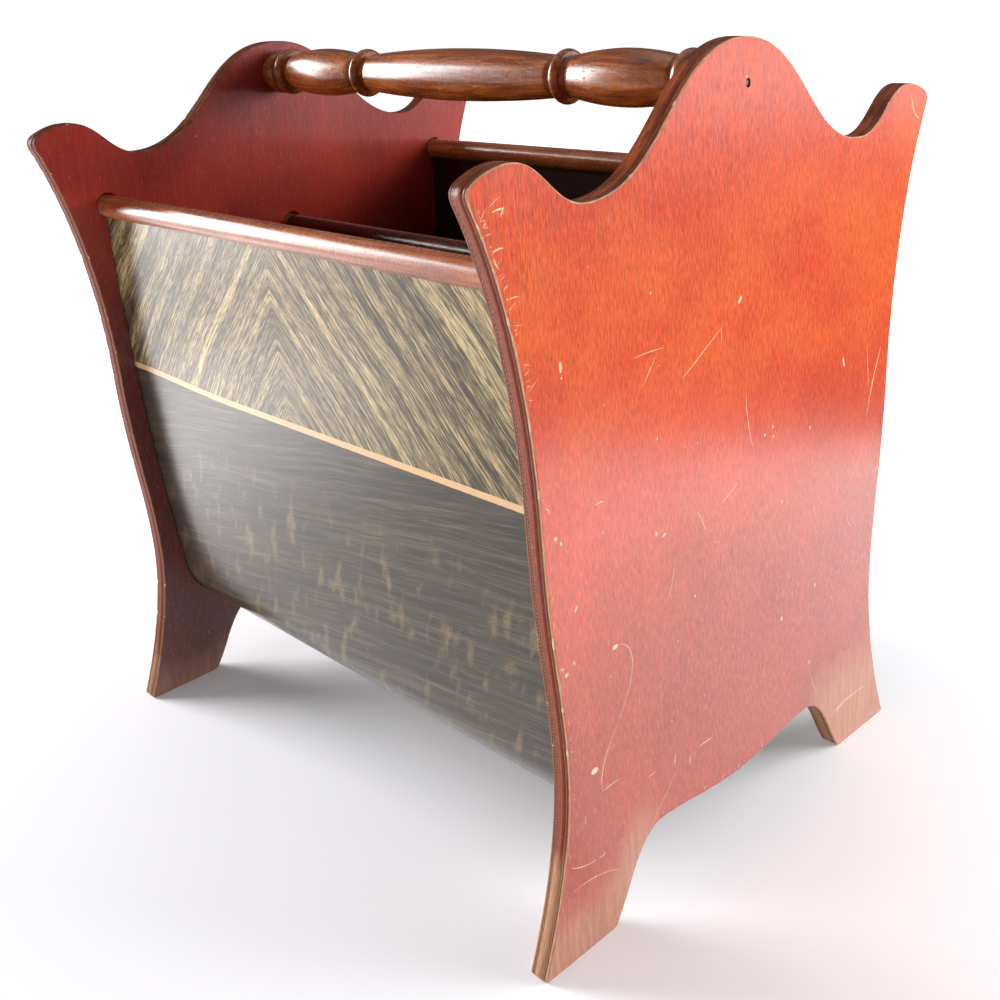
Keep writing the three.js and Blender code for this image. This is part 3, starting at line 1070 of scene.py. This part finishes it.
# Lightness across the herringbone's streaks: (millimetres from the apex line, light)
STREAKS = (
    (-80, 0.50), (-56, 0.46), (-52, 0.66), (-48, 0.44), (-42, 0.40), (-39, 0.70), (-35, 0.46),
    (-23, 0.42), (-19, 0.68), (-15, 0.46), (-10, 0.66), (-5, 0.44), (3, 0.46), (4.4, 0.92),
    (7, 0.90), (8.6, 0.44), (17, 0.58), (24, 0.40), (30, 0.62), (36, 0.50), (42, 0.30),
    (47, 0.66), (52, 0.32), (58, 0.60), (66, 0.28), (74, 0.40), (79, 0.86), (85, 0.80),
    (90, 0.42), (96, 0.84), (104, 0.50), (130, 0.55),
)
APEX_X = -9
STREAK_ANGLE = math.radians(43)
STEEPENS_AT = 47
INLAY_FROM_TOP = 94.2
INLAY_HALF = 1.7
INLAY_BLUR = 0.15
VENEER_COLOURS = (
    (0.70, paint(56, 48, 31)),
    (0.79, paint(112, 97, 64)),
    (0.88, paint(166, 145, 102)),
    (0.97, paint(204, 180, 132)),
)
SMOKY_COLOURS = ((0.34, paint(32, 27, 23)), (0.5, paint(62, 54, 46)), (0.66, paint(108, 94, 73)))


def herringbone(g, down):
    """The veneer's colour and fine grain at a distance down from the sheet's top edge. Its streaks
    fall away on both sides of an apex."""
    bend = g.maths("POWER", g.either(g.plus(down, -STEEPENS_AT), 0.0), 2.0)
    fall = g.minus(g.plus(down, -1.8), g.times(bend, 0.0016))
    out = g.absolute(g.plus(g.x, -APEX_X))
    drift = g.times(g.plus(g.noise(g.x, down, 0.0, (60, 45, 1), 1.0), -0.5), 4.0)
    cos, sin = math.cos(STREAK_ANGLE), math.sin(STREAK_ANGLE)
    across = g.plus(g.minus(g.times(out, cos), g.times(fall, sin)), drift)
    along = g.weigh((out, sin), (fall, cos))
    first, last = STREAKS[0][0], STREAKS[-1][0]
    place = g.times(g.plus(across, -first), 1 / (last - first))
    stripes = g.ramp(place, [((at - first) / (last - first), light) for at, light in STREAKS])
    hair = g.noise(across, along, g.x, (0.45, 10, 400), 4.0, 0.7)
    lines = g.noise(across, along, g.x, (1.2, 60, 400), 3.0, 0.7)
    light = g.plus(g.weigh((stripes, 0.36), (hair, 0.8), (lines, 0.6)), -0.06)
    weave = g.noise(across, along, g.x, (1.4, 34, 400), 2.0, 0.6)
    threads = g.rise(g.absolute(g.plus(weave, -0.5)), 0.012, 0.05, 0.0, 0.8)
    pores = g.rise(g.noise(across, along, g.x, (0.42, 6, 400), 2.0, 0.5), 0.54, 0.62, 0.7)
    colour = g.mix(g.either(threads, pores), g.ramp(light, VENEER_COLOURS), paint(30, 25, 17))
    return colour, hair


def smoky_wood(g, down):
    """The dark lower wood's colour and fine grain: swept along the sheet, with pale flecks low down."""
    sweep = g.times(g.plus(g.noise(g.x, down, 0.0, (170, 120, 1), 1.0), -0.5), 20.0)
    level = g.plus(g.plus(down, g.times(g.x, 0.16)), sweep)
    fine = g.noise(level, g.x, 0.0, (0.7, 30, 1), 4.0, 0.7)
    wide = g.noise(level, g.x, 0.0, (4, 120, 1), 3.0, 0.6)
    tilt = g.plus(g.x, g.times(down, 0.35))
    flecks = g.rise(g.noise(tilt, down, 3.0, (8, 24, 1), 2.0, 0.5), 0.52, 0.72)
    slant = g.plus(down, g.times(g.x, 0.3))
    hatched = g.rise(g.noise(slant, g.x, 0.0, (0.8, 8, 1), 2.0), 0.3, 0.7, 1.0, 0.4)
    flecks = g.times(g.times(flecks, hatched), g.rise(down, 118, 150))
    colour = g.ramp(g.weigh((fine, 0.6), (wide, 0.4)), SMOKY_COLOURS)
    return g.mix(g.times(flecks, 0.65), colour, paint(140, 118, 78)), fine


def decorated_sheet(name, run_length):
    """The sheet's outer face: a herringbone veneer, a pale inlay line and dark figured wood."""
    g = Graph(name)
    run = g.times(g.attribute("run"), 1000.0)
    down = g.maths("MINIMUM", run, g.minus(run_length, run))
    veneer, hair = herringbone(g, down)
    smoky, fine = smoky_wood(g, down)
    tip = g.times(g.rise(g.x, -165, -60, 0.0, 1.0), 3.4)
    ragged = g.times(g.plus(g.noise(g.x, 0.0, 0.0, (5, 1, 1), 2.0), -0.5), 0.4)
    below = g.plus(g.minus(g.plus(down, tip), INLAY_FROM_TOP), ragged)
    colour = g.mix(g.rise(below, -INLAY_BLUR, INLAY_BLUR), veneer, smoky)
    inlay = g.rise(g.absolute(below), INLAY_HALF - INLAY_BLUR, INLAY_HALF + INLAY_BLUR, 0.0, 1.0)
    peach = g.mix(g.noise(g.x, down, 0.0, (9, 1, 1), 2.0), paint(204, 160, 116), paint(222, 184, 138))
    colour = g.mix(inlay, colour, peach)
    g.bump(g.weigh((hair, 0.5), (fine, 0.5)), 0.03)
    rough = g.rise(hair, 0.2, 0.8, 0.34, 0.26)
    return g.finish(colour, rough, coat=0.65, coat_roughness=0.2, specular=0.4)


def dark_sheet(name, low, high):
    """Stained wood with its grain along X, inside the compartments and on the sheet's edges."""
    g = Graph(name)
    grain = g.solid((60, 1.6, 1.6), 4.0, 0.6)
    cloud = g.solid((50, 50, 50), 2.0)
    colour = g.ramp(g.weigh((grain, 0.7), (cloud, 0.3)), [(0.35, low), (0.65, high)])
    g.bump(grain, 0.04)
    return g.finish(colour, g.rise(grain, 0.2, 0.8, 0.5, 0.34))


def varnished_bar(name, dark, middle, light, pore_length, worn_ends, gloss):
    """Glossy walnut varnish on a round bar, its grain and its open pores along X."""
    g = Graph(name)
    drift = g.times(g.solid((70, 14, 14), 2.0), 6.0)
    across_y, across_z = g.plus(g.y, drift), g.plus(g.z, drift)
    grain = g.noise(g.x, across_y, across_z, (55, 2.0, 2.0), 4.0, 0.62)
    cloud = g.solid((36, 12, 12), 3.0)
    tone = g.weigh((grain, 0.65), (cloud, 0.35))
    colour = g.ramp(tone, [(0.34, dark), (0.5, middle), (0.66, light)])
    pores = g.solid((pore_length, 0.42, 0.42), 2.0, 0.5)
    pores = g.times(g.rise(pores, 0.6, 0.7), g.rise(grain, 0.35, 0.6, 1.0, 0.35))
    colour = g.mix(g.times(pores, 0.8), colour, paint(28, 14, 9))
    ticks = g.solid((0.8, 5, 5), 3.0, 0.6)
    colour = g.mix(g.rise(ticks, 0.52, 0.72, 0.22), colour, paint(36, 18, 12))
    half = INNER_X / MM
    end = g.plus(g.absolute(g.x), g.times(cloud, 3.0))
    colour = g.mix(g.times(g.rise(end, half - 1.2, half + 0.6), worn_ends), colour, paint(176, 128, 84))
    g.bump(g.plus(g.times(ticks, 0.25), g.times(pores, -1.0)), 0.05)
    rough = g.plus(g.times(pores, 0.2), g.rise(ticks, 0.3, 0.7, 0.3, 0.2))
    return g.finish(colour, rough, coat=gloss, coat_roughness=0.27, specular=gloss)


def dull_steel(name):
    """Steel darkened in spots."""
    g = Graph(name)
    spots = g.solid((0.5, 0.5, 0.5), 3.0)
    colour = g.ramp(spots, [(0.35, paint(92, 80, 72)), (0.65, paint(176, 168, 160))])
    g.shader.inputs["Metallic"].default_value = 0.5
    g.bump(spots, 0.05)
    return g.finish(colour, g.rise(spots, 0.3, 0.7, 0.65, 0.4))


# ---------------------------------------------------------------- the pieces
# Each face's colours: dark and light varnish, the painted glow of light, and the dark and light of the
# painted shade low down
OUTSIDE = ((220, 64, 25), (252, 94, 33), (255, 118, 36), (134, 36, 25), (180, 54, 28))
INSIDE = ((106, 22, 16), (178, 48, 34), (178, 48, 34), (30, 8, 7), (54, 14, 12))

bare = bare_wood("bare_wood")
socket_wood_painted_shade = raw_cut("socket_wood_painted_shade")
outer_face = varnished_face("red_varnish", OUTSIDE, (130, 262), (22, 46), 0.25, 1.0, speckled=1.0)
inner_face = varnished_face("mahogany_varnish", INSIDE, (240, 325), (6, 10), 0.34, 0.6, speckled=0.25)
right_edge = ply_edge("ply_edge_right", 54, 0.0)
left_edge = ply_edge("ply_edge_left", 26, 0.8)

RIGHT_ROUGH = [((-160, 255), (-128, 345)), ((120, 200), (160, 345))]
LEFT_ROUGH = [((-160, 150), (-118, 345)), ((120, 150), (160, 345))]
right_slots = [outer_face, bare, right_edge, socket_wood_painted_shade, inner_face]
left_slots = [outer_face, bare, left_edge, socket_wood_painted_shade, inner_face]
right = end_board("right_board", 1, 5, RIGHT_ROUGH, right_crack, right_marks(), right_slots)
left = end_board("left_board", -1, 6, LEFT_ROUGH, left_crack, left_marks(), left_slots)

# The pattern is laid out to the sheet's inside length, so it sits about 9 mm lower on the back
inside_line = beside(TROUGH, -SHEET / 2)
inside_length = sum((b - a).length for a, b in zip(inside_line, inside_line[1:]))
veneer = decorated_sheet("herringbone_sheet", inside_length)
inside = dark_sheet("inside_stain", paint(20, 12, 10), paint(44, 27, 20))
sheet_edge = dark_sheet("sheet_edge", paint(70, 46, 32), paint(110, 78, 54))
divider_stain = dark_sheet("divider_stain", paint(34, 14, 12), paint(64, 28, 22))
trough = trough_shell([veneer, inside, sheet_edge])
middle_sheet = divider([divider_stain])

RAIL_COLOURS = (paint(104, 48, 24), paint(152, 78, 42), paint(190, 112, 64))
# The divider rail is a rail like the others; its darker colours are painted shade
SHADED_RAIL_COLOURS = (paint(46, 14, 9), paint(84, 28, 17), paint(116, 44, 26))
GRIP_COLOURS = (paint(78, 32, 12), paint(136, 66, 22), paint(186, 104, 40))
rail_brown = varnished_bar("rail_walnut", *RAIL_COLOURS, pore_length=3, worn_ends=0.6, gloss=0.6)
rail_painted_shade = varnished_bar("divider_rail_walnut_painted_shade", *SHADED_RAIL_COLOURS, pore_length=3, worn_ends=0.9, gloss=0.3)
grip_brown = varnished_bar("handle_walnut", *GRIP_COLOURS, pore_length=7, worn_ends=0.0, gloss=0.6)
steel = dull_steel("dull_steel")

front = cap_rail("front_cap_rail", "front_rail", FRONT_RAIL, WALL_TOP.x, 1, [rail_brown])
back = cap_rail("back_cap_rail", "back_rail", BACK_RAIL, -WALL_TOP.x, 2, [rail_brown])
centre = cap_rail("divider_cap_rail", "divider_rail", DIVIDER_RAIL, 0, 3, [rail_painted_shade])
grip = turned_handle([grip_brown])
right_brad = brad("right_brad", 1, [steel])
left_brad = brad("left_brad", -1, [steel])

for piece, node in (
    (right, "right_end_panel"),
    (left, "left_end_panel"),
    (trough, "trough_shell"),
    (middle_sheet, "divider_panel"),
    (front, "front_rail"),
    (back, "back_rail"),
    (centre, "divider_rail"),
    (grip, "handle"),
    (right_brad, "right_nail"),
    (left_brad, "left_nail"),
):
    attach(piece, "root")
    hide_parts(node)


# ---------------------------------------------------------------- stage, light and camera
def panel(name, centre, across, up, material):
    """A flat rectangle from its centre and its two half sides."""
    bm = bmesh.new()
    centre, across, up = Vector(centre), Vector(across), Vector(up)
    corners = (centre - across - up, centre + across - up, centre + across + up, centre - across + up)
    bm.faces.new([bm.verts.new(corner) for corner in corners])
    piece = make_object(name, bm, [material], smooth=False)
    return piece


def softbox(name, at, aim, width, height, power):
    """A rectangular area light, pointed from one place at another."""
    lamp = bpy.data.lights.new(name, "AREA")
    lamp.shape = "RECTANGLE"
    lamp.size = width
    lamp.size_y = height
    lamp.energy = power
    box = bpy.data.objects.new(name, lamp)
    box.location = at
    box.rotation_euler = (Vector(aim) - Vector(at)).to_track_quat("-Z", "Y").to_euler()
    bpy.context.scene.collection.objects.link(box)
    return box


def white_paper():
    """Pale paper that glows a little, more so away from the object, and lights nothing itself.
    In reflections the part in front is a greyer table, brighter on the left than on the right."""
    g = Graph("white_paper")
    ray = g.add("ShaderNodeLightPath").outputs
    away = g.maths("SQRT", g.plus(g.times(g.x, g.x), g.times(g.y, g.y)))
    behind = g.weigh((g.x, 0.8), (g.y, 0.6))
    leftward = g.weigh((g.x, -0.726), (g.y, 0.685))
    forward = g.times(g.y, -1.0)
    mirrored = g.times(g.rise(forward, 0, 200), ray["Is Glossy Ray"])
    plain = g.times(g.minus(1.0, mirrored), g.rise(away, 450, 1600, 0.9))
    table = g.times(g.rise(leftward, -110, 100, 2.0), g.rise(away, 650, 950, 0.3, 1.0))
    table = g.times(table, g.rise(away, 250, 620, 1.0, 0.2))
    table = g.plus(table, g.rise(forward, 480, 640, 0.0, 0.3))
    glow = g.plus(g.plus(plain, g.rise(behind, 60, 330, 0.3, 0.06)), g.times(mirrored, table))
    g.shader.inputs["Emission Color"].default_value = (1, 1, 1, 1)
    shown = g.minus(1.0, ray["Is Diffuse Ray"])
    g.plug(g.shader.inputs["Emission Strength"], g.times(shown, glow))
    colour = g.mix(mirrored, paint(245, 244, 248), paint(150, 148, 150))
    return g.finish(colour, g.rise(g.solid((9, 9, 9)), 0, 1, 0.8, 0.7))


FLOOR_HALF = 9
floor = panel("floor", (0, 0, 0), (FLOOR_HALF, 0, 0), (0, FLOOR_HALF, 0), white_paper())

# The table ends past the board at +X: a dark card lies there, which only reflections show
TABLE_END = 0.632
CARD_HALF = 1.2
CARD_LIFT = 0.002
FORWARD = Vector((0.685, 0.726, 0)).normalized()
SIDEWAYS = Vector((-FORWARD.y, FORWARD.x, 0))
card_centre = FORWARD * (TABLE_END + CARD_HALF) + Vector((0, 0, CARD_LIFT))
dark_card = Graph("dark_card").finish(paint(20, 14, 12), 0.9)
card = panel("table_end_card", card_centre, SIDEWAYS * 3, FORWARD * CARD_HALF, dark_card)
card.visible_camera = False
card.visible_diffuse = False
card.visible_shadow = False
card.visible_transmission = False

key = softbox("key_softbox", (0.98, 1.0, 0.5), (0.1, 0, 0.25), 1.1, 0.7, 19.5)
key.visible_glossy = False
softbox("sheen_softbox", (1.1, 1.25, 0.95), (0.05, 0, 0.2), 1.2, 1.0, 8)
low_fill = softbox("low_fill_softbox", (-0.2, -2.0, 0.5), (0, 0, 0.1), 1.8, 0.8, 12)
low_fill.visible_glossy = False
softbox("top_softbox", (0.0, 0.4, 2.6), (0, 0.1, 0), 3.0, 3.0, 14)

# Two lights in one place. The board at -X faces them squarely, so only the weaker one lights it.
FRONT_LIGHT_AT = (-1.92, -0.84, 0.7)
front_light = softbox("front_softbox", FRONT_LIGHT_AT, (0, 0, 0.2), 1.2, 1.4, 76)
softbox("side_softbox", FRONT_LIGHT_AT, (0, 0, 0.2), 1.2, 1.4, 24)
spared = bpy.data.collections.new("spared_by_front_softbox")
spared.objects.link(left)
spared.collection_objects[0].light_linking.link_state = "EXCLUDE"
front_light.light_linking.receiver_collection = spared

# The camera sees a white backdrop, and everything else gets only a little fill light from it
WORLD_SEEN = 1.05
WORLD_FILL = 0.1
world = bpy.data.worlds.new("studio")
world.use_nodes = True
sky = world.node_tree.nodes["Background"]
sky.inputs["Color"].default_value = (0.98, 0.98, 1.0, 1.0)
seen = world.node_tree.nodes.new("ShaderNodeLightPath")
strength = world.node_tree.nodes.new("ShaderNodeMapRange")
strength.inputs["To Min"].default_value = WORLD_FILL
strength.inputs["To Max"].default_value = WORLD_SEEN
world.node_tree.links.new(seen.outputs["Is Camera Ray"], strength.inputs["Value"])
world.node_tree.links.new(strength.outputs[0], sky.inputs["Strength"])
bpy.context.scene.world = world
bpy.context.scene.view_settings.view_transform = "Standard"

lens = bpy.data.cameras.new("camera")
lens.lens = 44.716
lens.sensor_width = 36
lens.shift_x = 0.02754
lens.shift_y = -0.13126
lens.clip_end = 50
camera = bpy.data.objects.new("camera", lens)
RIGHTWARD = (0.68478309, 0.72635824, -0.05895607)
UPWARD = (-0.17989017, 0.24688074, 0.95220241)
BACKWARD = (0.70619519, -0.6414465, 0.29972446)
turned = Matrix((RIGHTWARD, UPWARD, BACKWARD)).transposed().to_4x4()
camera.matrix_world = Matrix.Translation((0.47608, -0.43632, 0.41092)) @ turned
bpy.context.scene.collection.objects.link(camera)
bpy.context.scene.camera = camera
